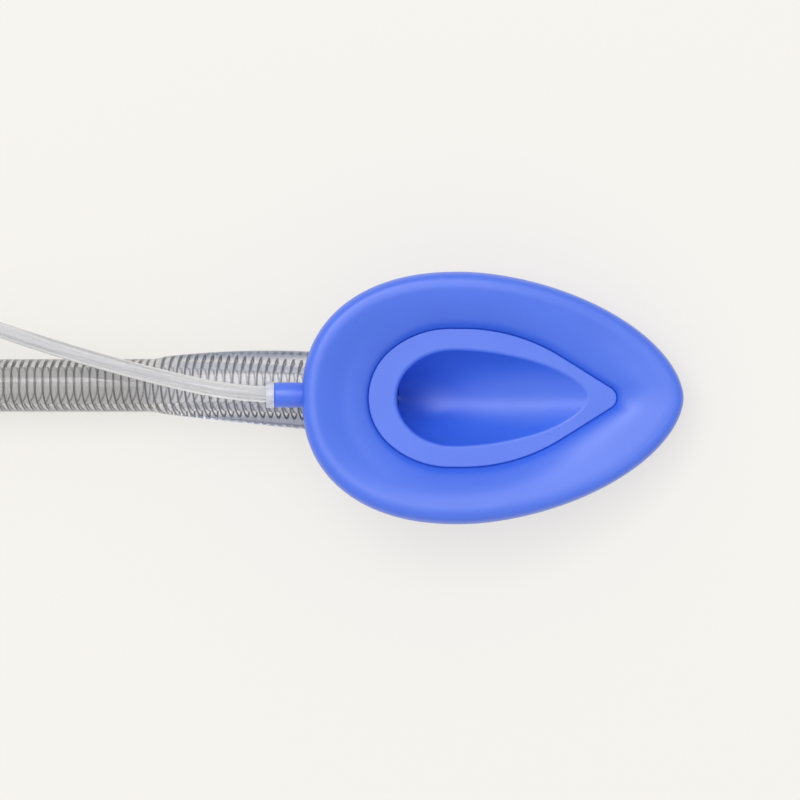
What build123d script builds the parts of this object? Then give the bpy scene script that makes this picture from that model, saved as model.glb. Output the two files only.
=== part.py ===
from build123d import *
import math
import os

# Laryngeal mask airway lying on a table, bowl up, with the tip of the mask down.
# X runs from the breathing connector to the tip of the mask, Y lies across and Z is up.
# The table is at Z = 0. Sizes are in millimetres and angles in degrees.

# Mask outline, seen square onto the rim
mask_tilt = 12.0
cuff_back = 38.9
cuff_front = 55.1
cuff_half_width = 31.1
cuff_back_fullness = 2.28
cuff_front_fullness = 1.77
rim_back = 22.6
rim_front = 38.6
rim_half_width = 17.1
rim_back_radius = 15.3
rim_widest_from_mask = 2.5
rim_side_run = 3.3
rim_tip_angle = 32.0
rim_tip_radius = 2.9
rim_thickness = 2.5
rim_edge_radius = 0.8
rim_outer_edge_radius = 0.3

# Inside of the bowl: depth under the rim, half width, reach towards the tip, and how square the back is
bowl_back = 15.6
bowl_levels = ((0, 11.8, 31.5, 2.0), (7, 9.2, 14.5, 2.3), (13, 5.6, -0.5, 3.0), (17.2, 2.4, -11.0, 3.0))
bowl_back_stretch = 1.2
bowl_front_fullness = 1.8
bowl_wall = 1.6

# Cuff: height of its crest and keel at the back, at the sides and at the tip, and how fast the sides end
back_crest = 5.0
side_crest = 6.0
tip_crest = 3.9
back_keel = -7.4
side_keel = -9.0
tip_keel = -8.6
keel_share = 0.62
edge_height = -1.0
tip_edge_height = -2.6
crease_height = -0.3
cuff_lap = 0.5
cuff_lap_depth = 3.4
side_spread = 3
tip_flat = 0.35
bond_gap = 0.05

# Cuff inlet
inlet_radius = 2.95
inlet_length = 6.9
inlet_offset = 0.74
inlet_height = -2.0
inlet_socket = 5.0
inlet_root = 4.0
inlet_lead = 8.1

# Airway tube, reinforced by a wound wire
tube_radius = 6.7
tube_bore = 4.75
tube_length = 213.0
tube_offset = 3.2
bend_from_mask = 60.0
bend_radius = 515.0
axis_meeting_from_mask = 12.3
tube_end_from_mask = 20.5
wire_pitch = 2.07
wire_coil_radius = 5.7
wire_radius = 0.3
wire_end_margin = 3.0
wire_steps = 8
wire_sides = 4

# Sleeve that thickens the tube towards the mask, and the socket that it meets
sleeve_length = 49.6
sleeve_end_from_mask = 31.0
sleeve_start_lip = 0.3
sleeve_width = 19.8
sleeve_depth = 16.4
sleeve_floor_gap = 0.2
socket_end_width = 15.0
socket_reach = 8.0
socket_lead = 4.0
passage_length = 4.4

# Breathing connector with a 15 mm male cone
cone_radius = 7.73
cone_length = 16.0
cone_taper = 1 / 40
cone_wall = 1.7
cone_chamfer = 0.5
flange_radius = 13.0
flange_thickness = 2.6
connector_bore = 3.9
spigot_length = 14.0
flange_edge_radius = 0.4
barb_height = 0.35
barb_start = 3.0
barb_pitch = 3.6
barb_ramp = 2.6
barb_count = 3

# Inflation line
line_radius = 2.0
line_floor_gap = 0.1
line_corner_share = 0.45
collar_radius = 3.2
collar_length = 2.0

# Pilot balloon
balloon_from_mask = 196.0
balloon_offset = 25.0
balloon_length = 30.0
balloon_half_width = 8.7
balloon_half_thickness = 4.5
neck_radius = 2.9
neck_socket = 5.0

# Check valve
valve_radius = 4.2
valve_body_length = 10.0
barrel_radius = 3.5
barrel_length = 8.0
port_rim_radius = 3.9
port_rim_length = 1.2
port_mouth_radius = 2.15
port_taper = 0.06
seat_bore = 1.6
seat_thickness = 1.0
chamber_radius = 3.0
stem_radius = 0.9
stem_recess = 1.8
seal_thickness = 0.8
seal_radius = 2.5
head_radius = 2.4
head_thickness = 1.0
guide_length = 2.0
valve_gap = 0.05
cap_plug_length = 2.0
cap_flange_length = 1.0
cap_bore = 0.9
cap_tail_length = 5.0
spring_radius = 1.7
spring_wire = 0.22
spring_turns = 4

os.makedirs("parts", exist_ok=True)

# Places that follow from the sizes
tilt = math.radians(mask_tilt)
forward = Vector(math.cos(tilt), 0, -math.sin(tilt))
upward = Vector(math.sin(tilt), 0, math.cos(tilt))
across = Vector(0, 1, 0)
tube_height = sleeve_depth / 2 + sleeve_floor_gap
tip_keel_reach = rim_front + keel_share * (cuff_front - rim_front)
rim_height = tip_keel_reach * math.sin(tilt) - tip_keel * math.cos(tilt) - tip_flat
tip_reach = cuff_front * math.cos(tilt) + tip_edge_height * math.sin(tilt)
connector_reach = tube_end_from_mask + tube_length + flange_thickness + cone_length
mask_x = (connector_reach - tip_reach) / 2
rim_plane = Plane(origin=(mask_x, 0, rim_height), x_dir=forward, z_dir=upward)


def egg(back, front, half_width, back_fullness, front_fullness, angle):
    """Reach of an egg-shaped outline in one direction, from its widest place."""
    turn = math.radians(angle)
    ahead = math.cos(turn) > 0
    reach, fullness = (front, front_fullness) if ahead else (back, back_fullness)
    along = abs(math.cos(turn) / reach) ** fullness
    aside = abs(math.sin(turn) / half_width) ** fullness
    return (along + aside) ** (-1 / fullness)


def around_cuff(angle, back, side, tip):
    """Value at one place round the cuff, from those at its back, side and tip."""
    lean = math.cos(math.radians(angle))
    tip_share = max(lean, 0) ** side_spread
    back_share = max(-lean, 0) ** side_spread
    return back * back_share + tip * tip_share + side * (1 - back_share - tip_share)


def on_mask(reach, offset, height):
    """Point given square to the rim."""
    return rim_plane.origin + forward * reach + across * offset + upward * height


# Rim outline: an oval back of two arcs, a shoulder, and straight flanks towards a small round tip
flank_angle = math.radians(rim_tip_angle)
flank_normal = Vector(math.sin(flank_angle), math.cos(flank_angle))
round_centre = rim_back_radius - rim_back
side_centre = -rim_widest_from_mask
side_lead = side_centre - round_centre
side_radius = (rim_half_width**2 + side_lead**2 - rim_back_radius**2) / (2 * (rim_half_width - rim_back_radius))
back_turn = math.degrees(math.atan2(side_radius - rim_half_width, side_lead))
shoulder = Vector(side_centre + rim_side_run, rim_half_width)
tip_centre = Vector(rim_front - rim_tip_radius, 0)
shoulder_drop = tip_centre.dot(flank_normal) + rim_tip_radius - shoulder.dot(flank_normal)
shoulder_radius = shoulder_drop / (1 - math.cos(flank_angle))

with BuildSketch() as rim_outline:
    with BuildLine():
        CenterArc((round_centre, 0), rim_back_radius, 180, -back_turn)
        side_arc = CenterArc(
            (side_centre, rim_half_width - side_radius), side_radius, 180 - back_turn, back_turn - 90
        )
        Line(side_arc @ 1, shoulder)
        shoulder_arc = JernArc(shoulder, (1, 0), shoulder_radius, -rim_tip_angle)
        Line(shoulder_arc @ 1, tip_centre + flank_normal * rim_tip_radius)
        CenterArc(tip_centre, rim_tip_radius, 90 - rim_tip_angle, rim_tip_angle - 90)
        mirror(about=Plane.XZ)
    make_face()


def rim_reach(angle):
    """Distance from the mask's centre to the rim's outline."""
    turn = math.radians(angle)
    far = rim_front + rim_back
    ray = Edge.make_line((0, 0), (far * math.cos(turn), far * math.sin(turn)))
    return ray.intersect(rim_outline.sketch.face())[0].length


# Cuff section: share of the width from the rim to the outer edge, and share of the crest or keel
back_crest_line = ((0.0, 0.0), (0.1, 0.25), (0.25, 0.42), (0.42, 0.55), (0.62, 0.83), (0.8, 1.0), (0.95, 0.62))
side_crest_line = ((0.0, 0.0), (0.12, 0.34), (0.26, 0.62), (0.42, 0.84), (0.58, 0.97), (0.72, 1.0), (0.93, 0.6))
tip_crest_line = ((0.0, 0.0), (0.12, 0.4), (0.26, 0.7), (0.42, 0.88), (0.6, 0.97), (0.76, 1.0), (0.94, 0.6))
keel_line = ((0.92, 0.68), (keel_share, 1.0), (0.3, 0.84), (0.0, 0.0))


def cuff_section(angle):
    """Points round the cuff's section at one place, as distance from the centre and height."""
    inner = rim_reach(angle) - cuff_lap
    outer = egg(cuff_back, cuff_front, cuff_half_width, cuff_back_fullness, cuff_front_fullness, angle)
    width = outer - inner
    crest = around_cuff(angle, back_crest, side_crest, tip_crest) - crease_height
    keel = around_cuff(angle, back_keel, side_keel, tip_keel) + cuff_lap_depth
    top = []
    for back_point, side_point, tip_point in zip(back_crest_line, side_crest_line, tip_crest_line):
        share = around_cuff(angle, back_point[0], side_point[0], tip_point[0])
        height = around_cuff(angle, back_point[1], side_point[1], tip_point[1])
        top.append((inner + share * width, crease_height + height * crest))
    edge = (outer, around_cuff(angle, edge_height, edge_height, tip_edge_height))
    bottom = [(inner + share * width, -cuff_lap_depth + part * keel) for share, part in keel_line]
    return top + [edge] + bottom


# Cuff, sealed and full of air, with its inlet moulded on
cuff_stations = (-16, 0, 14, 30, 48, 68, 90, 108, 126, 144, 162, 180, 198)
inlet_plane = Plane(
    origin=on_mask(-cuff_back - inlet_length, inlet_offset, inlet_height), x_dir=across, z_dir=forward
)

with BuildPart() as cuff:
    for angle in cuff_stations:
        outward = forward * math.cos(math.radians(angle)) + across * math.sin(math.radians(angle))
        station = Plane(origin=rim_plane.origin, x_dir=outward, z_dir=outward.cross(upward))
        with BuildSketch(station):
            with BuildLine():
                skin = Spline(*cuff_section(angle))
                Line(skin @ 1, skin @ 0)
            make_face()
    loft()
    split(bisect_by=Plane.XZ, keep=Keep.BOTTOM)
    mirror(about=Plane.XZ)
    with BuildSketch(rim_plane.offset(-rim_thickness - bond_gap)):
        add(rim_outline.sketch)
        offset(amount=bond_gap)
    extrude(amount=rim_thickness + side_crest, mode=Mode.SUBTRACT)
    with BuildSketch(inlet_plane):
        Circle(inlet_radius)
    extrude(amount=inlet_length + inlet_root)
    with BuildSketch(inlet_plane):
        Circle(line_radius + bond_gap)
    extrude(amount=inlet_socket, mode=Mode.SUBTRACT)
    split(bisect_by=Plane.XY, keep=Keep.TOP)

# Airway tube: straight from the connector, then a slight bend to the middle of the mask
tube_start = Vector(mask_x - tube_end_from_mask - tube_length, tube_offset, tube_height)
tube_bend = Vector(mask_x - bend_from_mask, tube_offset, tube_height)
bend_run = bend_from_mask - axis_meeting_from_mask
end_offset = tube_offset * (tube_end_from_mask - axis_meeting_from_mask) / bend_run
tube_end = Vector(mask_x - tube_end_from_mask, end_offset, tube_height)

with BuildLine() as tube_path:
    FilletPolyline(tube_start, tube_bend, tube_end, radius=bend_radius)

tube_line = tube_path.wire()
start_plane = Plane(origin=tube_start, x_dir=across, z_dir=(1, 0, 0))


def tube_station(distance):
    """Plane square to the tube at a distance along it."""
    place = tube_line.position_at(distance, position_mode=PositionMode.LENGTH)
    direction = tube_line.tangent_at(distance, position_mode=PositionMode.LENGTH)
    return Plane(origin=place, x_dir=Vector(0, 0, 1).cross(direction), z_dir=direction)


with BuildPart() as airway_tube:
    with BuildSketch(start_plane):
        Circle(tube_radius)
        Circle(tube_bore, mode=Mode.SUBTRACT)
    sweep(path=tube_line)

# Room for the tube in the sleeve and in the bowl's socket
with BuildPart() as tube_room:
    with BuildSketch(start_plane):
        Circle(tube_radius + bond_gap)
    sweep(path=tube_line)


def wound_line(path, start, length, turns, coil_radius):
    """Line of short straight runs that winds round a path, at one distance from it."""
    count = round(turns * wire_steps)
    points = []
    for step in range(count + 1):
        distance = start + length * step / count
        place = path.position_at(distance, position_mode=PositionMode.LENGTH)
        direction = path.tangent_at(distance, position_mode=PositionMode.LENGTH)
        side = Vector(0, 0, 1).cross(direction)
        turn = 2 * math.pi * turns * step / count
        points.append(place + (side * math.cos(turn) + Vector(0, 0, 1) * math.sin(turn)) * coil_radius)
    return Wire.make_polygon(points, close=False)


wire_start = spigot_length + wire_end_margin
wire_length = tube_line.length - wire_start - wire_end_margin
wire_line = wound_line(tube_line, wire_start, wire_length, wire_length / wire_pitch, wire_coil_radius)

with BuildPart() as tube_reinforcing_coil:
    with BuildSketch(Plane(origin=wire_line @ 0, z_dir=wire_line % 0)):
        RegularPolygon(wire_radius, wire_sides)
    sweep(path=wire_line, transition=Transition.RIGHT)

# Sleeve: widens quickly at first, then slowly up to the mask
sleeve_end = tube_length - (sleeve_end_from_mask - tube_end_from_mask)
sleeve_stations = (0.0, 0.12, 0.3, 0.55, 0.8, 1.0)
start_diameter = 2 * (tube_radius + sleeve_start_lip)

with BuildPart() as tube_sleeve:
    for share in sleeve_stations:
        growth = 1 - (1 - share) ** 2
        width = start_diameter + (sleeve_width - start_diameter) * growth
        depth = start_diameter + (sleeve_depth - start_diameter) * growth
        with BuildSketch(tube_station(sleeve_end - sleeve_length * (1 - share))):
            Ellipse(width / 2, depth / 2)
    loft()
    add(tube_room.part, mode=Mode.SUBTRACT)


def bowl_outline(half_width, reach, back_fullness, wall):
    """Points round one egg-shaped level of the bowl, from its back, widened by a wall."""
    middle = half_width * bowl_back_stretch - bowl_back
    back = middle + bowl_back + wall
    front = reach - middle + wall
    points = []
    for angle in range(180, 540, 15):
        distance = egg(back, front, half_width + wall, back_fullness, bowl_front_fullness, angle)
        turn = math.radians(angle)
        points.append((middle + distance * math.cos(turn), distance * math.sin(turn)))
    return points


# Bowl: flat rim, hull under it, and the socket that takes the tube
hull_depth = bowl_levels[-1][0] + bowl_wall
socket_root = Plane(origin=tube_end + (tube_line % 1) * socket_reach, x_dir=across, z_dir=tube_line % 1)

with BuildPart() as bowl:
    with BuildSketch(rim_plane.offset(-rim_thickness)):
        add(rim_outline.sketch)
    extrude(amount=rim_thickness)
    fillet(bowl.faces().sort_by(Axis(rim_plane.origin, upward))[-1].edges(), radius=rim_outer_edge_radius)
    for depth, half_width, reach, back_fullness in bowl_levels:
        outer_depth = depth * hull_depth / bowl_levels[-1][0]
        with BuildSketch(rim_plane.offset(-outer_depth)):
            with BuildLine():
                Spline(*bowl_outline(half_width, reach, back_fullness, bowl_wall), periodic=True)
            make_face()
    loft()
    with BuildSketch(tube_station(sleeve_end)):
        Ellipse(sleeve_width / 2, sleeve_depth / 2)
    with BuildSketch(tube_station(tube_length - socket_lead)):
        Ellipse(sleeve_width / 2, sleeve_depth / 2)
    with BuildSketch(socket_root):
        Ellipse(socket_end_width / 2, socket_end_width / 2)
    loft()
    for depth, half_width, reach, back_fullness in bowl_levels:
        with BuildSketch(rim_plane.offset(-depth)):
            with BuildLine():
                Spline(*bowl_outline(half_width, reach, back_fullness, 0), periodic=True)
            make_face()
    loft(mode=Mode.SUBTRACT)
    add(tube_room.part, mode=Mode.SUBTRACT)
    with BuildSketch(Plane(origin=tube_end, x_dir=across, z_dir=tube_line % 1)):
        Circle(tube_bore)
    extrude(amount=passage_length, mode=Mode.SUBTRACT)
    rim_face = bowl.faces().sort_by(Axis(rim_plane.origin, upward))[-1]
    fillet(rim_face.inner_wires()[0].edges(), radius=rim_edge_radius)

# Breathing connector: male cone, flange with flats to rest on, and a barbed spigot in the tube
cone_end_radius = cone_radius - cone_taper * cone_length / 2
cone_end = flange_thickness + cone_length
spigot_radius = tube_bore - bond_gap
barb_line = []
for barb in range(barb_count):
    peak = barb_start + barb * barb_pitch
    barb_line += [(peak, spigot_radius), (peak, spigot_radius + barb_height)]
    barb_line.append((peak + barb_ramp, spigot_radius))
connector_plane = Plane(origin=tube_start, x_dir=(1, 0, 0), z_dir=(0, -1, 0))

with BuildPart() as airway_connector:
    with BuildSketch(start_plane):
        Circle(flange_radius)
        Rectangle(2 * flange_radius, 2 * tube_height, mode=Mode.INTERSECT)
    extrude(amount=-flange_thickness)
    fillet(airway_connector.edges(), radius=flange_edge_radius)
    with BuildSketch(connector_plane):
        with BuildLine():
            Polyline(
                (spigot_length, connector_bore),
                (-flange_thickness, connector_bore),
                (-flange_thickness - cone_wall, cone_end_radius - cone_wall),
                (-cone_end, cone_end_radius - cone_wall),
                (-cone_end, cone_end_radius - cone_chamfer),
                (-cone_end + cone_chamfer, cone_end_radius),
                (-flange_thickness, cone_radius),
                (0, cone_radius),
                (0, spigot_radius),
                *barb_line,
                (spigot_length, spigot_radius),
                close=True,
            )
        make_face()
    revolve(axis=Axis(tube_start, (1, 0, 0)))
    with BuildSketch(start_plane):
        Circle(connector_bore)
    extrude(amount=-flange_thickness, mode=Mode.SUBTRACT)

# Inflation line: out of the inlet, over the airway tube and down to the pilot balloon
line_height = line_radius + line_floor_gap
balloon_height = balloon_half_thickness + line_floor_gap
inlet_mouth = inlet_plane.origin
balloon_mouth = Vector(mask_x - balloon_from_mask, balloon_offset, balloon_height)
line_route = [
    inlet_mouth + forward * inlet_socket,
    inlet_mouth - forward * inlet_lead,
    Vector(24.1, 5.2, 25.0),
    Vector(-0.5, 11.4, 19.5),
    Vector(-27.3, 19.0, 9.0),
    Vector(-46.6, 26.0, line_height),
    Vector(-68.6, 27.5, line_height),
    Vector(-88.6, balloon_offset, balloon_height),
    balloon_mouth - Vector(neck_socket, 0, 0),
]


def corner_radii(route):
    """Arc at each corner of a route, as large as its two runs allow."""
    radii = []
    for before, corner, after in zip(route, route[1:], route[2:]):
        shorter = min((corner - before).length, (after - corner).length)
        turn = math.radians((corner - before).get_angle(after - corner))
        radii.append(line_corner_share * shorter / math.tan(turn / 2))
    return radii


line_radii = corner_radii(line_route)
print("inflation line corner radii", [round(radius, 1) for radius in line_radii])

with BuildLine() as line_path:
    FilletPolyline(*line_route, radius=line_radii)

line_curve = line_path.wire()
print("inflation line length", round(line_curve.length, 1))

with BuildPart() as inflation_line:
    with BuildSketch(Plane(origin=line_curve @ 0, z_dir=line_curve % 0)):
        Circle(line_radius)
    sweep(path=line_curve)

with BuildPart() as line_collar:
    with BuildSketch(inlet_plane):
        Circle(collar_radius)
        Circle(line_radius + bond_gap, mode=Mode.SUBTRACT)
    extrude(amount=-collar_length)

# Pilot balloon, sealed and full of air, with a neck at each end
balloon_growth = ((0.0, 0.0), (0.1, 0.1), (0.25, 0.72), (0.5, 1.0), (0.75, 0.72), (0.9, 0.1), (1.0, 0.0))

with BuildPart() as pilot_balloon:
    for share, growth in balloon_growth:
        along = balloon_mouth - Vector(share * balloon_length, 0, 0)
        with BuildSketch(Plane(origin=along, x_dir=across, z_dir=(-1, 0, 0))):
            Ellipse(
                neck_radius + growth * (balloon_half_width - neck_radius),
                neck_radius + growth * (balloon_half_thickness - neck_radius),
            )
    loft()
    for share in (0, 1):
        inward = 1 - 2 * share
        neck = balloon_mouth - Vector(share * balloon_length, 0, 0)
        with BuildSketch(Plane(origin=neck, z_dir=(-inward, 0, 0))):
            Circle(line_radius + bond_gap)
        extrude(amount=neck_socket, mode=Mode.SUBTRACT)

# Check valve: a syringe pushes the stem, which lifts the seal off its seat
valve_length = barrel_length + valve_body_length
valve_back = balloon_mouth.X - balloon_length - cap_flange_length
valve_mouth = Vector(valve_back - valve_length, balloon_offset, balloon_height)
valve_plane = Plane(origin=valve_mouth, x_dir=(1, 0, 0), z_dir=(0, -1, 0))
valve_axis = Axis(valve_mouth, (1, 0, 0))
seat_start = barrel_length - seat_thickness
port_end_radius = port_mouth_radius - port_taper * seat_start / 2
head_start = barrel_length + valve_gap + seal_thickness
head_end = head_start + head_thickness
plug_start = valve_length - cap_plug_length

with BuildPart() as valve_housing:
    with BuildSketch(valve_plane):
        with BuildLine():
            Polyline(
                (0, port_mouth_radius),
                (seat_start, port_end_radius),
                (seat_start, seat_bore),
                (barrel_length, seat_bore),
                (barrel_length, chamber_radius),
                (valve_length, chamber_radius),
                (valve_length, valve_radius),
                (barrel_length, valve_radius),
                (barrel_length - (valve_radius - barrel_radius), barrel_radius),
                (port_rim_length, barrel_radius),
                (port_rim_length, port_rim_radius),
                (0, port_rim_radius),
                close=True,
            )
        make_face()
    revolve(axis=valve_axis)

with BuildPart() as valve_plunger:
    with BuildSketch(valve_plane):
        with BuildLine():
            Polyline(
                (stem_recess, 0),
                (stem_recess, stem_radius),
                (head_start, stem_radius),
                (head_start, head_radius),
                (head_end, head_radius),
                (head_end, stem_radius),
                (head_end + guide_length, stem_radius),
                (head_end + guide_length, 0),
                close=True,
            )
        make_face()
    revolve(axis=valve_axis)

with BuildPart() as valve_seal:
    with BuildSketch(valve_plane):
        with BuildLine():
            Polyline(
                (barrel_length + valve_gap, stem_radius + valve_gap),
                (barrel_length + valve_gap, seal_radius),
                (head_start, seal_radius),
                (head_start, stem_radius + valve_gap),
                close=True,
            )
        make_face()
    revolve(axis=valve_axis)

with BuildPart() as valve_cap:
    with BuildSketch(valve_plane):
        with BuildLine():
            Polyline(
                (plug_start, cap_bore),
                (plug_start, chamber_radius - bond_gap),
                (valve_length, chamber_radius - bond_gap),
                (valve_length, valve_radius),
                (valve_length + cap_flange_length, valve_radius),
                (valve_length + cap_flange_length, line_radius),
                (valve_length + cap_flange_length + cap_tail_length - bond_gap, line_radius),
                (valve_length + cap_flange_length + cap_tail_length - bond_gap, cap_bore),
                close=True,
            )
        make_face()
    revolve(axis=valve_axis)

spring_path = Edge.make_line(
    valve_mouth + Vector(head_end + spring_wire, 0, 0), valve_mouth + Vector(plug_start - spring_wire, 0, 0)
)
spring_line = wound_line(spring_path, 0, spring_path.length, spring_turns, spring_radius)

with BuildPart() as valve_spring:
    with BuildSketch(Plane(origin=spring_line @ 0, z_dir=spring_line % 0)):
        RegularPolygon(spring_wire, wire_sides)
    sweep(path=spring_line, transition=Transition.RIGHT)

pieces = {
    "cuff": cuff,
    "bowl": bowl,
    "airway_tube": airway_tube,
    "tube_reinforcing_coil": tube_reinforcing_coil,
    "tube_sleeve": tube_sleeve,
    "airway_connector": airway_connector,
    "inflation_line": inflation_line,
    "line_collar": line_collar,
    "pilot_balloon": pilot_balloon,
    "valve_housing": valve_housing,
    "valve_plunger": valve_plunger,
    "valve_seal": valve_seal,
    "valve_spring": valve_spring,
    "valve_cap": valve_cap,
}

for name, piece in pieces.items():
    piece.part.label = name
    export_step(piece.part, "parts/" + name + ".step")
    print(name, piece.part.is_valid, len(piece.part.solids()), round(piece.part.volume, 1))
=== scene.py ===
import math

import bpy
from mathutils import Matrix, Vector


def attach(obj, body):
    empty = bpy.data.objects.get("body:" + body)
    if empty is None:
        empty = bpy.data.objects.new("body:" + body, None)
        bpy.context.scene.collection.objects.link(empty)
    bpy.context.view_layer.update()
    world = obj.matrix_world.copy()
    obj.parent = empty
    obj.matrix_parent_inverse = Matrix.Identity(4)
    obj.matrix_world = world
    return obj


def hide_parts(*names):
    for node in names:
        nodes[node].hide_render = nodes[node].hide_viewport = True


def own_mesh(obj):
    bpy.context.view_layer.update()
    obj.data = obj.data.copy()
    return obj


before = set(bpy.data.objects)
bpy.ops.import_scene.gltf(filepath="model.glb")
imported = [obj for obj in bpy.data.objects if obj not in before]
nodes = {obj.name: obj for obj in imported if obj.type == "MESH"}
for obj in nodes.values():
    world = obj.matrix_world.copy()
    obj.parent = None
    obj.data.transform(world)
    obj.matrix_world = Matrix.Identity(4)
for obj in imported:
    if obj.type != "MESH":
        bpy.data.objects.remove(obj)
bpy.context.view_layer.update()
mm = 0.001

# where the mask lies: its rim's middle, and how far its tip leans down
mask = {"middle": Vector((0.099372, 0.0, 0.018214)), "tilt": math.radians(12)}
forward = Vector((math.cos(mask["tilt"]), 0, -math.sin(mask["tilt"])))
upward = Vector((math.sin(mask["tilt"]), 0, math.cos(mask["tilt"])))
across = Vector((0, 1, 0))
straightUp = Vector((0, 0, 1))


def onMask(reach, aside, height):  # millimetres, square to the rim
    return mask["middle"] + (forward * reach + across * aside + upward * height) * mm


def lerp(a, b, share):
    return a + (b - a) * share


def ease(share):
    share = min(max(share, 0.0), 1.0)
    return share * share * (3 - 2 * share)


def turnAt(step, steps):
    return 2 * math.pi * step / steps


# small modelling helpers
def selectOnly(piece):
    bpy.ops.object.select_all(action="DESELECT")
    piece.select_set(True)
    bpy.context.view_layer.objects.active = piece


def settle(piece):  # the place goes into the mesh
    selectOnly(piece)
    bpy.ops.object.transform_apply(location=True, rotation=True, scale=True)
    return piece


def applyAll(piece):
    selectOnly(piece)
    for modifier in list(piece.modifiers):
        bpy.ops.object.modifier_apply(modifier=modifier.name)
    return piece


def tidyMesh(piece):
    selectOnly(piece)
    bpy.ops.object.mode_set(mode="EDIT")
    bpy.ops.mesh.select_all(action="SELECT")
    bpy.ops.mesh.remove_doubles(threshold=1e-6)
    bpy.ops.mesh.normals_make_consistent(inside=False)
    bpy.ops.object.mode_set(mode="OBJECT")
    bpy.ops.object.shade_smooth()
    return piece


def skin(name, rings, closed=False):  # a grid whose rows are laid on the rings, each ring closed
    sides = len(rings[0])
    rows = len(rings) if closed else len(rings) - 1
    bpy.ops.object.select_all(action="DESELECT")
    bpy.ops.mesh.primitive_grid_add(x_subdivisions=sides, y_subdivisions=rows, size=1)
    piece = bpy.context.object
    piece.name = name
    for vertex in piece.data.vertices:
        column = round((vertex.co.x + 0.5) * sides) % sides
        row = round((vertex.co.y + 0.5) * rows) % len(rings)
        vertex.co = rings[row][column]
    return tidyMesh(piece)


def sweptCurve(name, kind, route, radius, roundSteps, caps):
    curve = bpy.data.curves.new(name, "CURVE")
    curve.dimensions = "3D"
    curve.bevel_depth = radius * mm
    curve.bevel_resolution = roundSteps
    curve.use_fill_caps = caps
    spline = curve.splines.new(kind)
    spline.points.add(len(route) - 1)
    for point, place in zip(spline.points, route):
        point.co = (*(Vector(place) * mm), 1)
    piece = bpy.data.objects.new(name, curve)
    bpy.context.scene.collection.objects.link(piece)
    return piece


def asMesh(piece):
    selectOnly(piece)
    bpy.ops.object.convert(target="MESH")
    return tidyMesh(bpy.context.object)


def smoothLine(points, count, fineness=12):  # points evenly along a smooth open line through these
    fine = []
    ends = [points[0] * 2 - points[1]] + list(points) + [points[-1] * 2 - points[-2]]
    for a, b, c, d in zip(ends, ends[1:], ends[2:], ends[3:]):
        for step in range(fineness):
            t = step / fineness
            bent = b * 2 + (c - a) * t + (a * 2 - b * 5 + c * 4 - d) * t * t
            fine.append((bent + (b * 3 - a - c * 3 + d) * t ** 3) / 2)
    fine.append(points[-1])
    lengths = [0.0]
    for a, b in zip(fine, fine[1:]):
        lengths.append(lengths[-1] + (b - a).length)
    spread, k = [], 0
    for step in range(count):
        target = lengths[-1] * step / (count - 1)
        while k < len(fine) - 2 and lengths[k + 1] < target:
            k += 1
        gap = lengths[k + 1] - lengths[k]
        spread.append(fine[k].lerp(fine[k + 1], (target - lengths[k]) / gap if gap else 0))
    return spread


# materials
def addNode(tree, kind, inputs=None, **settings):  # each input is a value, or the socket that feeds it
    node = tree.nodes.new(kind)
    for key, value in settings.items():
        setattr(node, key, value)
    for key, value in (inputs or {}).items():
        if isinstance(value, bpy.types.NodeSocket):
            tree.links.new(value, node.inputs[key])
        else:
            node.inputs[key].default_value = value
    return node


def maths(tree, operation, *values):
    return addNode(tree, "ShaderNodeMath", dict(enumerate(values)), operation=operation).outputs["Value"]


def mixed(tree, share, plain, other, blend="MIX"):
    return addNode(tree, "ShaderNodeMix", {"Factor": share, "A": plain, "B": other},
                   data_type="RGBA", blend_type=blend).outputs["Result"]


def mapped(tree, value, start, end, interpolation="LINEAR"):  # 0 at start, 1 at end
    return addNode(tree, "ShaderNodeMapRange", {"Value": value, "From Min": start, "From Max": end},
                   interpolation_type=interpolation).outputs["Result"]


surfaceInputs = {
    "Colour": (0.5, 0.5, 0.5, 1), "Cloud colour": (0.4, 0.4, 0.4, 1), "Cloud size": 60.0,
    "Grain size": 2500.0, "Bump": 0.05, "Least roughness": 0.3, "Most roughness": 0.5, "Specks": 0.3,
    "Speck colour": (0.8, 0.8, 0.9, 1),
}
surfaceOutputs = {"Colour": "NodeSocketColor", "Roughness": "NodeSocketFloat", "Normal": "NodeSocketVector"}
surfacePattern = {
    "cloudDetail": 3, "cloudFrom": 0.35, "cloudTo": 0.65, "grainHeight": 0.00004,
    "speckCells": 210, "speckAbove": 0.93, "speckEdge": 0.035, "speckCore": 0.012,
}


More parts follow.
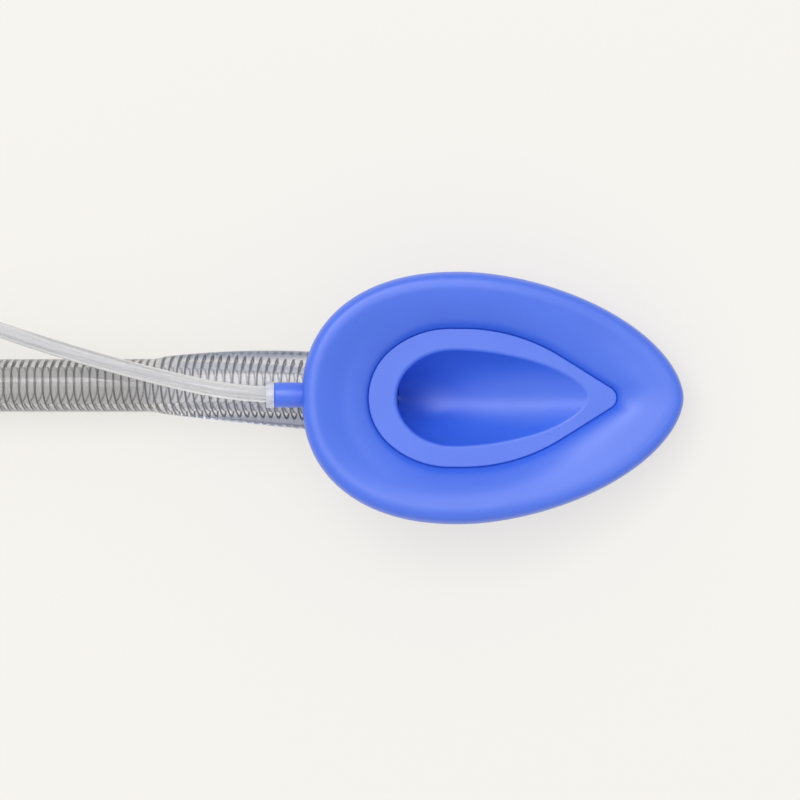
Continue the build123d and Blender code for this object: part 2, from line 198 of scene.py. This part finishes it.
def mouldedSurface():  # faint cloudy colour, uneven gloss, fine skin and a few specks
    pattern = surfacePattern
    group = bpy.data.node_groups.new("mouldedSurface", "ShaderNodeTree")
    for name, value in surfaceInputs.items():
        kind = "NodeSocketColor" if isinstance(value, tuple) else "NodeSocketFloat"
        group.interface.new_socket(name, in_out="INPUT", socket_type=kind).default_value = value
    for name, kind in surfaceOutputs.items():
        group.interface.new_socket(name, in_out="OUTPUT", socket_type=kind)
    given = addNode(group, "NodeGroupInput").outputs
    place = addNode(group, "ShaderNodeTexCoord").outputs["Object"]
    cloud = addNode(group, "ShaderNodeTexNoise", {
        "Vector": place, "Scale": given["Cloud size"], "Detail": pattern["cloudDetail"]}).outputs["Fac"]
    soft = mapped(group, cloud, pattern["cloudFrom"], pattern["cloudTo"])
    clouded = mixed(group, soft, given["Colour"], given["Cloud colour"])
    dots = addNode(group, "ShaderNodeTexVoronoi", {"Vector": place, "Scale": pattern["speckCells"]}).outputs
    chance = addNode(group, "ShaderNodeTexWhiteNoise", {"Vector": dots["Position"]}).outputs["Value"]
    chosen = maths(group, "GREATER_THAN", chance, pattern["speckAbove"])
    speck = maths(group, "MULTIPLY", chosen, mapped(
        group, dots["Distance"], pattern["speckEdge"], pattern["speckCore"]))
    strength = maths(group, "MULTIPLY", speck, given["Specks"])
    dusted = mixed(group, strength, clouded, given["Speck colour"])
    grain = addNode(group, "ShaderNodeTexNoise", {
        "Vector": place, "Scale": given["Grain size"]}).outputs["Fac"]
    gloss = addNode(group, "ShaderNodeMapRange", {
        "Value": cloud, "To Min": given["Least roughness"], "To Max": given["Most roughness"]})
    bump = addNode(group, "ShaderNodeBump", {
        "Distance": pattern["grainHeight"], "Strength": given["Bump"], "Height": grain})
    addNode(group, "NodeGroupOutput", {
        "Colour": dusted, "Roughness": gloss.outputs["Result"], "Normal": bump.outputs["Normal"]})
    return group


surfaceGroup = mouldedSurface()


def moulded(name, look, lampsThrough=None, **sockets):
    material = bpy.data.materials.new(name)
    material.use_nodes = True
    tree = material.node_tree
    shader = tree.nodes["Principled BSDF"]
    surface = addNode(tree, "ShaderNodeGroup", look, node_tree=surfaceGroup).outputs
    tree.links.new(surface["Colour"], shader.inputs["Base Color"])
    tree.links.new(surface["Roughness"], shader.inputs["Roughness"])
    tree.links.new(surface["Normal"], shader.inputs["Normal"])
    for key, value in sockets.items():
        shader.inputs[key.replace("_", " ")].default_value = value
    if lampsThrough:  # lamps reach what is inside and behind the clear wall
        clear = addNode(tree, "ShaderNodeBsdfTransparent", {"Color": lampsThrough})
        path = addNode(tree, "ShaderNodeLightPath")
        either = addNode(tree, "ShaderNodeMixShader", {
            "Fac": path.outputs["Is Shadow Ray"], 1: shader.outputs["BSDF"], 2: clear.outputs["BSDF"]})
        tree.links.new(either.outputs["Shader"], tree.nodes["Material Output"].inputs["Surface"])
    return material


def paint(piece, material):
    piece.data.materials.clear()
    piece.data.materials.append(material)


blueSilicone = moulded(
    "blueSilicone",
    {"Colour": (0.034, 0.134, 0.76, 1), "Cloud colour": (0.03, 0.124, 0.73, 1), "Cloud size": 45,
     "Grain size": 2600, "Bump": 0.12, "Least roughness": 0.36, "Most roughness": 0.44, "Specks": 0.35,
     "Speck colour": (0.4, 0.5, 0.9, 1)},
    IOR=1.5, Specular_IOR_Level=1.0, Subsurface_Weight=0.1, Subsurface_Radius=(0.3, 0.5, 1.0),
    Subsurface_Scale=0.002,
)
clearSilicone = moulded(
    "clearSilicone",
    {"Colour": (0.71, 0.708, 0.71, 1), "Cloud colour": (0.68, 0.682, 0.69, 1), "Cloud size": 70,
     "Grain size": 1400, "Bump": 0.03, "Least roughness": 0.06, "Most roughness": 0.12, "Specks": 0.0},
    lampsThrough=(0.8, 0.81, 0.84, 1), IOR=1.41, Transmission_Weight=0.86,
)
wireSteel = moulded(
    "wireSteel",
    {"Colour": (0.12, 0.12, 0.13, 1), "Cloud colour": (0.09, 0.09, 0.1, 1), "Cloud size": 300,
     "Grain size": 4000, "Bump": 0.1, "Least roughness": 0.4, "Most roughness": 0.55, "Specks": 0.0},
    Metallic=1.0,
)
lineTubing = moulded(
    "lineTubing",
    {"Colour": (0.8, 0.805, 0.82, 1), "Cloud colour": (0.77, 0.775, 0.8, 1), "Cloud size": 90,
     "Grain size": 900, "Bump": 0.01, "Least roughness": 0.06, "Most roughness": 0.12, "Specks": 0.0},
    lampsThrough=(0.7, 0.71, 0.74, 1), IOR=1.42, Transmission_Weight=0.72,
)
clearPlastic = moulded(
    "clearPlastic",
    {"Colour": (0.72, 0.75, 0.83, 1), "Cloud colour": (0.92, 0.94, 1.0, 1), "Cloud size": 900,
     "Grain size": 2600, "Bump": 0.3, "Least roughness": 0.06, "Most roughness": 0.16, "Specks": 1.0,
     "Speck colour": (1, 1, 1, 1)},
    lampsThrough=(0.8, 0.8, 0.84, 1), IOR=1.46, Transmission_Weight=0.62,
)
balloonFilm = moulded(
    "balloonFilm",
    {"Colour": (0.24, 0.36, 0.88, 1), "Cloud colour": (0.3, 0.42, 0.9, 1), "Cloud size": 90,
     "Grain size": 900, "Bump": 0.2, "Least roughness": 0.14, "Most roughness": 0.26, "Specks": 0.1},
    lampsThrough=(0.5, 0.58, 0.9, 1), IOR=1.4, Transmission_Weight=0.5,
)
connectorPlastic = moulded(
    "connectorPlastic",
    {"Colour": (0.83, 0.85, 0.87, 1), "Cloud colour": (0.79, 0.81, 0.84, 1), "Cloud size": 50,
     "Grain size": 1500, "Bump": 0.08, "Least roughness": 0.16, "Most roughness": 0.28, "Specks": 0.1},
    IOR=1.5, Subsurface_Weight=0.2, Subsurface_Radius=(1.0, 1.0, 1.0), Subsurface_Scale=0.002,
)
valvePlastic = moulded(
    "valvePlastic",
    {"Colour": (0.84, 0.85, 0.86, 1), "Cloud colour": (0.8, 0.81, 0.83, 1), "Cloud size": 90,
     "Grain size": 2200, "Bump": 0.1, "Least roughness": 0.2, "Most roughness": 0.32, "Specks": 0.1},
    IOR=1.5,
)
plungerPlastic = moulded(
    "plungerPlastic",
    {"Colour": (0.04, 0.12, 0.55, 1), "Cloud colour": (0.03, 0.1, 0.48, 1), "Cloud size": 120,
     "Grain size": 2400, "Bump": 0.1, "Least roughness": 0.22, "Most roughness": 0.36, "Specks": 0.1},
    IOR=1.5,
)
sealRubber = moulded(
    "sealRubber",
    {"Colour": (0.02, 0.02, 0.022, 1), "Cloud colour": (0.03, 0.03, 0.032, 1), "Cloud size": 200,
     "Grain size": 3000, "Bump": 0.3, "Least roughness": 0.5, "Most roughness": 0.7, "Specks": 0.1},
    IOR=1.5,
)

# the thick sleeve is milkier than the bare tube; its sides, far from its middle, get painted shade, darker
# and bluer, standing in for the dark edges of a clear wall seen edge-on
sleeveLook = {
    "start": 0.012, "end": 0.03, "milk": (1.25, 1.25, 1.29, 1),
    "middle": 0.0028, "core": 0.0062, "rind": 0.0078, "paintedEdgeShade": (0.22, 0.25, 0.34, 1),
}


def sleeveTint(material):
    tree = material.node_tree
    shader = tree.nodes["Principled BSDF"]
    plain = shader.inputs["Base Color"].links[0].from_socket
    place = addNode(tree, "ShaderNodeTexCoord").outputs["Object"]
    parts = addNode(tree, "ShaderNodeSeparateXYZ", {"Vector": place}).outputs
    aside = maths(tree, "ABSOLUTE", maths(tree, "SUBTRACT", parts["Y"], sleeveLook["middle"]))
    # painted shade: the sleeve's sides, by their distance aside from its middle, are darkened bluish
    paintedShadeShare = mapped(tree, aside, sleeveLook["core"], sleeveLook["rind"], "SMOOTHSTEP")
    edgeShaded = mixed(tree, paintedShadeShare, plain, sleeveLook["paintedEdgeShade"])
    milky = mixed(tree, 1, edgeShaded, sleeveLook["milk"], "MULTIPLY")
    onSleeve = mapped(tree, parts["X"], sleeveLook["start"], sleeveLook["end"], "SMOOTHSTEP")
    tree.links.new(mixed(tree, onSleeve, plain, milky), shader.inputs["Base Color"])


sleeveTint(clearSilicone)
print("materials made")

# camera, floor and light
view = {"aim": Vector((0.0849, -0.0005, 0.0213)), "distance": 1.0, "lens": 182.8, "near": 0.05, "far": 50}
studio = {
    "sky": (1.0, 0.985, 0.96, 1), "skyStrength": 0.78,
    "floorSize": 8, "floorColour": (0.25, 0.247, 0.24, 1), "floorRoughness": 0.9, "floorShine": 0.1,
    "floorGlow": (1.0, 0.976, 0.93, 1), "floorGlowStrength": 0.63,
    # place, aim, width, height, watts, colour
    "panels": {
        "keyPanel": ((0.12, 0.42, 1.4), (0.09, 0, 0), 1.2, 1.2, 7.3, (1, 0.985, 0.96)),
        "stripPanel": ((-0.3, 0.6, 1.15), (0.08, 0, 0), 0.7, 0.4, 2.6, (0.95, 0.97, 1)),
        "fillPanel": ((0.1, -0.9, 0.9), (0.09, 0, 0), 0.8, 0.6, 0.2, (0.97, 0.98, 1)),
        "backPanel": ((-0.85, 0.2, 0.9), (0.05, 0, 0), 0.7, 0.7, 0.4, (1, 1, 1)),
    },
}


def addCamera():
    data = bpy.data.cameras.new("camera")
    data.lens = view["lens"]
    data.clip_start, data.clip_end = view["near"], view["far"]
    camera = bpy.data.objects.new("camera", data)
    bpy.context.scene.collection.objects.link(camera)
    turn = Matrix((forward, across, upward)).transposed().to_4x4()
    camera.matrix_world = Matrix.Translation(view["aim"] + upward * view["distance"]) @ turn
    bpy.context.scene.camera = camera


def addStudio():
    world = bpy.data.worlds.new("studioSky")
    world.use_nodes = True
    background = world.node_tree.nodes["Background"]
    background.inputs["Color"].default_value = studio["sky"]
    background.inputs["Strength"].default_value = studio["skyStrength"]
    bpy.context.scene.world = world
    for name, (place, aim, width, height, watts, colour) in studio["panels"].items():
        data = bpy.data.lights.new(name, "AREA")
        data.shape = "RECTANGLE"
        data.size, data.size_y, data.energy, data.color = width, height, watts, colour
        lamp = bpy.data.objects.new(name, data)
        lamp.location = place
        lamp.rotation_euler = (Vector(aim) - Vector(place)).to_track_quat("-Z", "Y").to_euler()
        bpy.context.scene.collection.objects.link(lamp)
    bpy.ops.object.select_all(action="DESELECT")
    bpy.ops.mesh.primitive_plane_add(size=studio["floorSize"], location=(0, 0, 0))
    floor = bpy.context.object
    floor.name = "floor"
    material = bpy.data.materials.new("floorPaper")
    material.use_nodes = True
    shader = material.node_tree.nodes["Principled BSDF"]
    shader.inputs["Base Color"].default_value = studio["floorColour"]
    shader.inputs["Emission Color"].default_value = studio["floorGlow"]
    shader.inputs["Emission Strength"].default_value = studio["floorGlowStrength"]
    shader.inputs["Roughness"].default_value = studio["floorRoughness"]
    shader.inputs["Specular IOR Level"].default_value = studio["floorShine"]
    floor.data.materials.append(material)
    bpy.context.scene.view_settings.view_transform = "Standard"


addCamera()
addStudio()
print("camera, floor and light placed")

# inflation line, a swept curve made into a hollow mesh that rides on the airway
line = {
    "route": [
        (59.04, 0.74, 24.74), (46.23, 0.74, 27.46), (24.1, 5.2, 25.0), (-0.5, 11.4, 19.5), (-27.3, 19.0, 9.0),
        (-46.6, 26.0, 2.1), (-68.6, 27.5, 2.1), (-88.6, 25.0, 4.6), (-101.63, 25.0, 4.6),
    ],
    "order": 3, "alongSteps": 24, "roundSteps": 8, "radius": 2.0, "wall": 1.15,
    "length": 0.168, "exit": (0.05415, 0.00074, 0.02578),
}


def lineCurve(name, radius):
    piece = sweptCurve(name, "NURBS", line["route"], radius, line["roundSteps"], False)
    piece.data.resolution_u = line["alongSteps"]
    spline = piece.data.splines[0]
    spline.order_u = line["order"]
    spline.use_endpoint_u = True
    return piece


def buildLine():
    bare = lineCurve("lineRoute", 0)
    path = [vertex.co.copy() for vertex in bpy.data.meshes.new_from_object(bare).vertices]
    bpy.data.objects.remove(bare)
    piece = asMesh(lineCurve("inflationLine", line["radius"]))
    wall = piece.modifiers.new("wall", "SOLIDIFY")
    wall.thickness = line["wall"] * mm
    wall.offset = -1
    applyAll(piece)
    paint(piece, lineTubing)
    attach(piece, "airway")
    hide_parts("inflation_line")
    return piece, path


inflationLine, linePath = buildLine()
print("inflation line made")

# cuff, an inflated ring round the bowl's rim
cuff = {
    "turns": 256, "bunching": 0.32, "around": 56, "aboveFloor": 0.02,
    "back": 38.9, "front": 55.1, "side": 31.1, "backFullness": 2.28, "frontFullness": 1.77,
    # heights at the back, sides and tip
    "crest": (5.0, 6.0, 3.9), "keel": (-7.4, -9.0, -8.6), "edge": (-1.0, -1.0, -2.6),
    # share of the way out from the rim, and share of the crest's or the keel's height
    "topBack": [(0.1, 0.25), (0.25, 0.42), (0.42, 0.55), (0.64, 0.83), (0.83, 1.0), (0.96, 0.78)],
    "topSide": [(0.12, 0.31), (0.265, 0.58), (0.43, 0.8), (0.6, 0.94), (0.78, 1.0), (0.945, 0.82)],
    "topTip": [(0.12, 0.38), (0.26, 0.66), (0.42, 0.84), (0.62, 0.94), (0.83, 1.0), (0.96, 0.8)],
    "under": [(0.92, 0.68), (0.62, 1.0), (0.3, 0.84), (0.0, 0.0)],
    "crease": -0.3, "creaseDepth": 0.34, "gap": 0.05, "lap": 0.5, "lapDepth": 3.4, "lip": (-2.75, -2.6),
}
rim = {
    "back": -22.6, "backRadius": 15.3, "widest": -2.5, "halfWidth": 17.1, "run": 3.3, "tip": 38.6,
    "tipRadius": 2.9, "flank": math.radians(32), "leastReach": 1.0, "mostReach": 60.0, "halvings": 50,
}


def rimHalfWidth(reach):  # two back arcs, a short straight, a shoulder, a straight flank, a round tip
    half, small, tipSmall = rim["halfWidth"], rim["backRadius"], rim["tipRadius"]
    lead = rim["widest"] - rim["back"] - small
    large = (half ** 2 + lead ** 2 - small ** 2) / (2 * (half - small))
    backTurn = math.atan2(large - half, lead)
    shoulder = rim["widest"] + rim["run"]
    if reach <= rim["back"] + small - small * math.cos(backTurn):
        return math.sqrt(max(small ** 2 - (reach - rim["back"] - small) ** 2, 0))
    if reach <= rim["widest"]:
        return half - large + math.sqrt(large ** 2 - (reach - rim["widest"]) ** 2)
    if reach <= shoulder:
        return half
    sine, cosine = math.sin(rim["flank"]), math.cos(rim["flank"])
    tipMiddle = rim["tip"] - tipSmall
    bend = (tipMiddle * sine + tipSmall - shoulder * sine - half * cosine) / (1 - cosine)
    if reach <= shoulder + bend * sine:
        return half - bend + math.sqrt(bend ** 2 - (reach - shoulder) ** 2)
    if reach <= tipMiddle + tipSmall * sine:
        return (tipMiddle * sine + tipSmall - reach * sine) / cosine
    return math.sqrt(max(tipSmall ** 2 - (reach - tipMiddle) ** 2, 0))


def rimReach(angle):  # from the mask's middle to the rim's outline, found by halving
    low, high = rim["leastReach"], rim["mostReach"]
    for _ in range(rim["halvings"]):
        middle = (low + high) / 2
        along, aside = middle * math.cos(angle), middle * math.sin(angle)
        inside = rim["back"] < along < rim["tip"] and abs(aside) < rimHalfWidth(along)
        low, high = (middle, high) if inside else (low, middle)
    return low


def egg(back, front, side, backFullness, frontFullness, angle):
    reach, fullness = (front, frontFullness) if math.cos(angle) > 0 else (back, backFullness)
    total = abs(math.cos(angle) / reach) ** fullness + abs(math.sin(angle) / side) ** fullness
    return total ** (-1 / fullness)


def roundMask(angle, values):  # a value round the cuff from those at its back, sides and tip
    lean = math.cos(angle)
    tipShare, backShare = max(lean, 0) ** 3, max(-lean, 0) ** 3
    return values[0] * backShare + values[2] * tipShare + values[1] * (1 - backShare - tipShare)


def cuffRing(angle):
    inner = rimReach(angle)
    outer = egg(cuff["back"], cuff["front"], cuff["side"], cuff["backFullness"], cuff["frontFullness"], angle)
    start, width = inner - cuff["lap"], outer - inner + cuff["lap"]
    crest = roundMask(angle, cuff["crest"]) - cuff["crease"]
    keel = roundMask(angle, cuff["keel"]) + cuff["lapDepth"]
    section = [Vector((inner + cuff["gap"], -cuff["creaseDepth"], 0))]
    for back, side, tip in zip(cuff["topBack"], cuff["topSide"], cuff["topTip"]):
        share, height = (roundMask(angle, values) for values in zip(back, side, tip))
        section.append(Vector((start + share * width, cuff["crease"] + height * crest, 0)))
    section.append(Vector((outer, roundMask(angle, cuff["edge"]), 0)))
    for share, height in cuff["under"]:
        section.append(Vector((start + share * width, -cuff["lapDepth"] + height * keel, 0)))
    section = smoothLine(section, cuff["around"])
    section.append(Vector((inner - cuff["lap"], cuff["lip"][0], 0)))
    section.append(Vector((inner + cuff["gap"], cuff["lip"][1], 0)))
    out = forward * math.cos(angle) + across * math.sin(angle)
    return [mask["middle"] + (out * point.x + upward * point.y) * mm for point in section]


def buildCuff():
    turns = [turnAt(step, cuff["turns"]) for step in range(cuff["turns"])]
    angles = [turn - cuff["bunching"] * math.sin(turn) for turn in turns]  # closer together at the tip
    piece = skin("cuffSkin", [cuffRing(angle) for angle in angles], closed=True)
    for vertex in piece.data.vertices:
        vertex.co.z = max(vertex.co.z, cuff["aboveFloor"] * mm)
    paint(piece, blueSilicone)
    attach(piece, "airway")
    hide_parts("cuff")


buildCuff()

# the cuff's nipple, turned round the mask's forward direction
inlet = {
    "place": (-45.8, 0.74, -2.0), "sides": 48,
    # distance along and radius, from the bottom of the socket round the mouth and along the outside
    "profile": [(5.0, 2.08), (0.2, 2.08), (0.0, 2.28), (0.0, 2.75), (0.1, 2.96), (0.35, 3.1), (4.2, 3.1),
                (6.5, 3.1), (7.0, 2.98), (7.5, 3.1), (8.4, 3.4), (8.4, 2.08)],
}


def buildInlet():
    turn = straightUp.rotation_difference(forward).to_matrix()
    rings = []
    for along, radius in inlet["profile"]:
        ring = []
        for step in range(inlet["sides"]):
            angle = turnAt(step, inlet["sides"])
            spoke = Vector((radius * math.cos(angle), radius * math.sin(angle), along)) * mm
            ring.append(onMask(*inlet["place"]) + turn @ spoke)
        rings.append(ring)
    piece = skin("cuffInlet", rings, closed=True)
    paint(piece, blueSilicone)
    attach(piece, "airway")


buildInlet()
print("cuff made")

# the bowl's inside, one smooth skin whose bottom is round, with the hole that the tube opens through
lining = {
    # depth under the rim, half width, reach towards the tip
    "levels": [Vector((0, 11.8, 31.5)), Vector((7, 9.2, 14.5)), Vector((13, 5.6, -0.5)),
               Vector((17.2, 2.4, -11.0))],
    "levelSteps": 160, "back": 15.6, "stretch": 1.2, "backFullness": (2.0, 3.0), "fullestDepth": 13,
    "frontFullness": 1.8, "top": 1.0, "roundFrom": 12.6, "bottom": 16.8,
    "lowest": -15.2,  # by the rim's inner edge at the back
    "buried": -0.16, "inset": 0.34, "frontInset": 2.4, "wall": 0.25, "sharpAngle": math.radians(40),
    "sides": 128, "wallRows": 48, "bottomRows": 20,
    "holePlace": (-18.14, 0.35, -12.8), "holeRadius": 3.5, "holeLength": 6.0, "holeSides": 96,
}
levelLine = smoothLine(lining["levels"], lining["levelSteps"])


def liningRing(depth, closing):
    level = levelLine[-1]
    for a, b in zip(levelLine, levelLine[1:]):
        if a.x <= depth <= b.x:
            level = a.lerp(b, (depth - a.x) / (b.x - a.x))
    down = (depth - lining["top"]) / (lining["roundFrom"] - lining["top"])
    inset = lerp(lining["buried"], lining["inset"], down)
    toBack = level.y * lining["stretch"]
    middle = toBack - lining["back"]
    centre = lerp(lining["lowest"], middle, closing)
    fullness = lerp(*lining["backFullness"], ease(depth / lining["fullestDepth"]))
    half, back = level.y - inset, toBack - inset
    front = level.z - middle - inset * lining["frontInset"]
    ring = []
    for step in range(lining["sides"]):
        angle = turnAt(step, lining["sides"])
        distance = closing * egg(back, front, half, fullness, lining["frontFullness"], angle)
        ring.append(onMask(centre + distance * math.cos(angle), distance * math.sin(angle), -depth))
    return ring


def buildLining():
    top, low, bottom = lining["top"], lining["roundFrom"], lining["bottom"]
    rows, bottomRows = lining["wallRows"], lining["bottomRows"]
    rings = [liningRing(lerp(top, low, step / rows), 1) for step in range(rows + 1)]
    for step in range(1, bottomRows + 1):
        turn = math.pi / 2 * step / bottomRows
        rings.append(liningRing(lerp(low, bottom, math.sin(turn)), math.cos(turn)))
    piece = skin("bowlLining", rings)
    wall = piece.modifiers.new("wall", "SOLIDIFY")
    wall.thickness = lining["wall"] * mm
    wall.offset = 1
    applyAll(piece)
    bpy.ops.object.select_all(action="DESELECT")
    bpy.ops.mesh.primitive_cylinder_add(
        vertices=lining["holeSides"], radius=lining["holeRadius"] * mm, depth=lining["holeLength"] * mm,
        location=onMask(*lining["holePlace"]), rotation=(0, math.pi / 2 + mask["tilt"], 0),
    )
    cutter = settle(bpy.context.object)
    hole = piece.modifiers.new("hole", "BOOLEAN")
    hole.operation = "DIFFERENCE"
    hole.solver = "EXACT"
    hole.object = cutter
    applyAll(piece)
    bpy.data.objects.remove(cutter)
    selectOnly(piece)
    bpy.ops.object.shade_smooth_by_angle(angle=lining["sharpAngle"])
    paint(piece, blueSilicone)
    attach(piece, "airway")


buildLining()
print("bowl's inside made")

# airway tube and its sleeve, one clear body, with the wire wound in its wall
tube = {
    "start": Vector((-134.13, 3.2, 8.4)), "bend": Vector((39.37, 3.2, 8.4)), "bendRadius": 515.0,
    "end": Vector((78.87, 0.55, 8.4)), "radius": 6.7, "bore": 4.75, "edge": 0.25,
    "sides": 72, "rows": 60, "boreRows": 100,
    "sleeveLength": 49.6, "sleeveEnd": 10.5, "sleeveRows": 40, "width": 19.8, "depth": 16.4,
    "lip": 0.3, "lipShare": 0.06, "endStep": 0.05,
}
coil = {
    "radius": 5.7, "wire": 0.24, "smoothness": 1, "pitch": 2.07, "first": 17.0, "last": 3.0, "steps": 28,
}


def tubeBend():  # its angle, and how much it takes off the straight leg on either side
    turn = (tube["bend"] - tube["start"]).angle(tube["end"] - tube["bend"])
    return turn, tube["bendRadius"] * math.tan(turn / 2)


def tubeFrame(distance):  # place and direction at a distance along the tube, in millimetres
    before, after = (tube["bend"] - tube["start"]), (tube["end"] - tube["bend"])
    radius = tube["bendRadius"]
    turn, cut = tubeBend()
    arc, first = radius * turn, before.length - cut
    a, b = before.normalized(), after.normalized()
    if distance <= first:
        return tube["start"] + a * distance, a
    if distance >= first + arc:
        return tube["bend"] + b * (cut + distance - first - arc), b
    swing = (distance - first) / radius
    inward = (b - a * a.dot(b)).normalized()
    place = tube["start"] + a * (first + radius * math.sin(swing)) + inward * radius * (1 - math.cos(swing))
    return place, a * math.cos(swing) + inward * math.sin(swing)


def tubeLength():
    turn, cut = tubeBend()
    straight = (tube["bend"] - tube["start"]).length + (tube["end"] - tube["bend"]).length
    return straight - 2 * cut + tube["bendRadius"] * turn


def tubeRing(distance, halfWidth, halfDepth):
    place, direction = tubeFrame(distance)
    side = straightUp.cross(direction)
    ring = []
    for step in range(tube["sides"]):
        angle = turnAt(step, tube["sides"])
        spoke = side * halfWidth * math.cos(angle) + straightUp * halfDepth * math.sin(angle)
        ring.append((place + spoke) * mm)
    return ring


def buildTube():
    total = tubeLength()
    sleeveEnd = total - tube["sleeveEnd"]
    sleeveStart = sleeveEnd - tube["sleeveLength"]
    r, bore, edge, lip = tube["radius"], tube["bore"], tube["edge"], tube["lip"]
    rings = [tubeRing(0, r - edge, r - edge)]
    for step in range(tube["rows"]):
        rings.append(tubeRing(lerp(edge, sleeveStart, step / tube["rows"]), r, r))
    for step in range(tube["sleeveRows"] + 1):
        share = step / tube["sleeveRows"]
        growth = 1 - (1 - share) ** 2
        start = r + lip * ease(share / tube["lipShare"])
        halfWidth = start + (tube["width"] / 2 - r - lip) * growth
        halfDepth = start + (tube["depth"] / 2 - r - lip) * growth
        rings.append(tubeRing(sleeveStart + tube["sleeveLength"] * share, halfWidth, halfDepth))
    rings.append(tubeRing(sleeveEnd + tube["endStep"], r, r))
    rings.append(tubeRing(total, r, r))
    for step in range(tube["boreRows"] + 1):
        rings.append(tubeRing(total * (1 - step / tube["boreRows"]), bore, bore))
    piece = skin("clearTube", rings, closed=True)
    paint(piece, clearSilicone)
    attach(piece, "airway")
    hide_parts("airway_tube", "tube_sleeve")


def wirePiece(name, route, radius, smoothness, node):
    piece = asMesh(sweptCurve(name, "POLY", route, radius, smoothness, True))
    paint(piece, wireSteel)
    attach(piece, "airway")
    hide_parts(node)
    return piece


def buildCoil():
    length = tubeLength() - coil["first"] - coil["last"]
    turns = length / coil["pitch"]
    count = round(turns * coil["steps"])
    route = []
    for step in range(count + 1):
        place, direction = tubeFrame(coil["first"] + length * step / count)
        side = straightUp.cross(direction)
        angle = 2 * math.pi * turns * step / count
        route.append(place + (side * math.cos(angle) + straightUp * math.sin(angle)) * coil["radius"])
    wirePiece("woundWire", route, coil["wire"], coil["smoothness"], "tube_reinforcing_coil")


buildTube()
buildCoil()
print("tube, sleeve and wire made")

# pilot balloon, two films welded along their edges and blown up, with a round neck at each end
balloon = {
    "start": Vector((-96.63, 25.0, 4.6)), "length": 30.0, "halfWidth": 8.7, "halfThickness": 4.4,
    "neck": 2.9, "weld": 1.2, "film": 0.17, "socket": 2.06, "socketDepth": 4.9, "sides": 96, "rows": 90,
    "sharpAngle": math.radians(50),
    "widens": 0.36, "thickens": 0.3,  # over these shares of the length from each end
    "weldFrom": 0.05, "weldOver": 0.35,  # shares of the widening over which the welded edge stands out
    "plumpFall": 2.2, "plumpRound": 0.62, "pucker": 0.22, "puckers": 11, "puckerFall": 5, "puckerLean": 2,
}


def balloonRing(share):
    swell = ease(min(share, 1 - share) / balloon["widens"])
    narrow = ease(min(share, 1 - share) / balloon["thickens"])
    half = lerp(balloon["neck"], balloon["halfWidth"], swell)
    thick = lerp(balloon["neck"], balloon["halfThickness"], narrow)
    flat = ease((swell - balloon["weldFrom"]) / balloon["weldOver"])
    body = half - balloon["weld"] * flat
    ring = []
    for step in range(balloon["sides"]):
        angle = turnAt(step, balloon["sides"])
        aside = half * math.cos(angle)
        full = min(abs(aside) / body, 1.0)
        circle = math.sqrt(max(1 - (aside / half) ** 2, 0))
        plump = max(1 - full ** balloon["plumpFall"], 0) ** balloon["plumpRound"]
        wave = math.sin(2 * math.pi * balloon["puckers"] * share + balloon["puckerLean"] * full)
        ripple = 1 + balloon["pucker"] * flat * full ** balloon["puckerFall"] * wave
        height = max(thick * lerp(circle, plump * ripple, flat), balloon["film"] * flat)
        height *= 1 if math.sin(angle) >= 0 else -1
        ring.append((balloon["start"] + Vector((-share * balloon["length"], aside, height))) * mm)
    return ring


def socketRing(along):
    ring = []
    for step in range(balloon["sides"]):
        angle = turnAt(step, balloon["sides"])
        spoke = Vector((-along, balloon["socket"] * math.cos(angle), balloon["socket"] * math.sin(angle)))
        ring.append((balloon["start"] + spoke) * mm)
    return ring


def buildBalloon():
    rows, length, depth = balloon["rows"], balloon["length"], balloon["socketDepth"]
    rings = [socketRing(depth), socketRing(0)]
    rings += [balloonRing(step / rows) for step in range(rows + 1)]
    rings += [socketRing(length), socketRing(length - depth)]
    piece = skin("balloonSkin", rings)
    selectOnly(piece)
    bpy.ops.object.mode_set(mode="EDIT")
    bpy.ops.mesh.select_all(action="SELECT")
    bpy.ops.mesh.fill_holes(sides=0)
    bpy.ops.mesh.select_all(action="SELECT")
    bpy.ops.mesh.normals_make_consistent(inside=False)
    bpy.ops.object.mode_set(mode="OBJECT")
    bpy.ops.object.shade_smooth_by_angle(angle=balloon["sharpAngle"])
    paint(piece, balloonFilm)
    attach(piece, "airway")
    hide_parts("pilot_balloon")
    return piece


balloonSkin = buildBalloon()
print("pilot balloon made")

# the valve's spring, built as a fixed coil; the real one shortens as the plunger is pressed in
spring = {
    "first": -135.55, "last": -129.87, "middle": (25.0, 4.6), "radius": 1.7, "wire": 0.2, "smoothness": 3,
    "turns": 4, "steps": 40, "fixedEnd": -129.63, "pressed": 0.756,
}


def buildSpring():
    count = spring["turns"] * spring["steps"]
    route = []
    for step in range(count + 1):
        angle = turnAt(step, spring["steps"])
        route.append(Vector((
            lerp(spring["first"], spring["last"], step / count),
            spring["middle"][0] + spring["radius"] * math.cos(angle),
            spring["middle"][1] + spring["radius"] * math.sin(angle),
        )))
    piece = wirePiece("valveSpring", route, spring["wire"], spring["smoothness"], "valve_spring")
    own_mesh(piece)
    return piece


valveSpring = buildSpring()
print("valve spring made")

# the finishes of the solids, those that a finished piece stands for too
finishes = {
    "cuff": blueSilicone, "bowl": blueSilicone, "airway_tube": clearSilicone, "tube_sleeve": clearSilicone,
    "tube_reinforcing_coil": wireSteel, "airway_connector": connectorPlastic, "line_collar": clearPlastic,
    "pilot_balloon": balloonFilm, "valve_housing": valvePlastic, "valve_cap": valvePlastic,
    "valve_plunger": plungerPlastic, "valve_seal": sealRubber, "valve_spring": wireSteel,
}
for name, material in finishes.items():
    paint(nodes[name], material)
